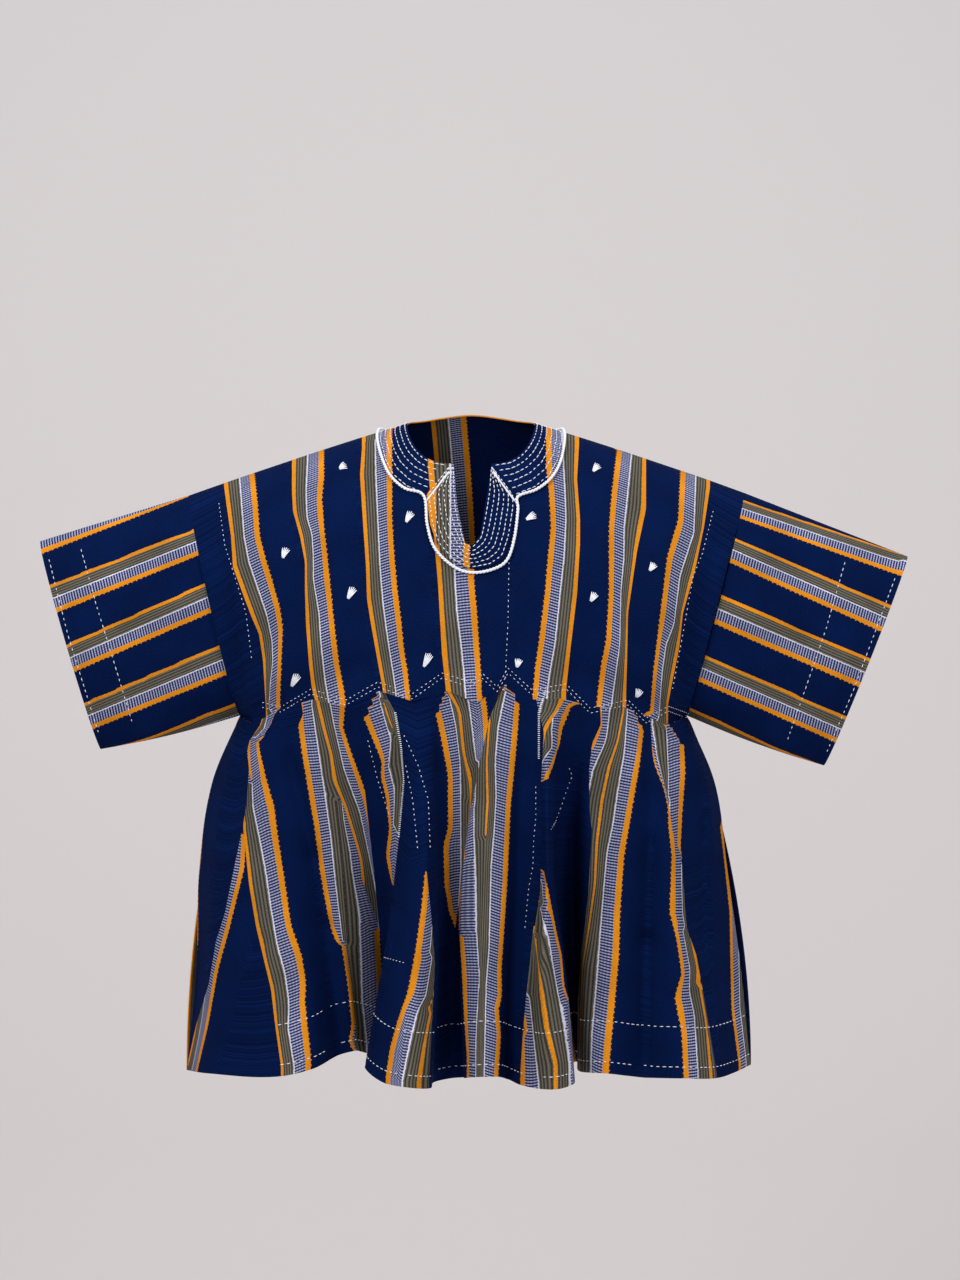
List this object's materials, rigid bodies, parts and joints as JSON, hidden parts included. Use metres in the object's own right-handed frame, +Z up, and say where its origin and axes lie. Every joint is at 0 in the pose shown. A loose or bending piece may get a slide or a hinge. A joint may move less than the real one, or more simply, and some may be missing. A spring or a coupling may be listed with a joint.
{
  "type": "fugu smock",
  "caption": "Wide hand-woven strip smock with short open sleeves, slit neck with placket, and a skirt of strips and godets in deep folds, hollow as worn.",
  "frame": {"origin": "between the shoulders at the height of the neck points, where the wearer carries the smock", "axes": "+Z up, -Y to the front of the smock, +X to the wearer's left"},
  "size_m": [0.954, 0.377, 0.7251],
  "materials": {
    "strip_cloth": "matt hand-woven cotton with a band of orange, khaki, white and checked blue in each strip",
    "white_thread": "thick white cotton thread, couched and stitched"
  },
  "bodies": {
    "root": {"front_strip_1": "strip_cloth", "front_strip_2": "strip_cloth", "front_strip_3": "strip_cloth", "front_strip_4": "strip_cloth", "front_strip_5": "strip_cloth", "front_strip_6": "strip_cloth", "front_strip_7": "strip_cloth", "front_strip_8": "strip_cloth", "front_strip_9": "strip_cloth", "front_gore_1": "strip_cloth", "front_gore_2": "strip_cloth", "front_gore_3": "strip_cloth", "front_gore_4": "strip_cloth", "front_gore_5": "strip_cloth", "front_gore_6": "strip_cloth", "front_gore_7": "strip_cloth", "front_gore_8": "strip_cloth", "front_gore_9": "strip_cloth", "front_gore_10": "strip_cloth", "front_gore_11": "strip_cloth", "front_gore_12": "strip_cloth", "front_gore_13": "strip_cloth", "front_gore_14": "strip_cloth", "front_gore_15": "strip_cloth", "back_strip_1": "strip_cloth", "back_strip_2": "strip_cloth", "back_strip_3": "strip_cloth", "back_strip_4": "strip_cloth", "back_strip_5": "strip_cloth", "back_strip_6": "strip_cloth", "back_strip_7": "strip_cloth", "back_strip_8": "strip_cloth", "back_strip_9": "strip_cloth", "back_gore_1": "strip_cloth", "back_gore_2": "strip_cloth", "back_gore_3": "strip_cloth", "back_gore_4": "strip_cloth", "back_gore_5": "strip_cloth", "back_gore_6": "strip_cloth", "back_gore_7": "strip_cloth", "back_gore_8": "strip_cloth", "back_gore_9": "strip_cloth", "back_gore_10": "strip_cloth", "back_gore_11": "strip_cloth", "sleeve_right": "strip_cloth", "sleeve_left": "strip_cloth", "neck_placket": "strip_cloth", "neck_cord": "white_thread"}
  },
  "joints": []
}
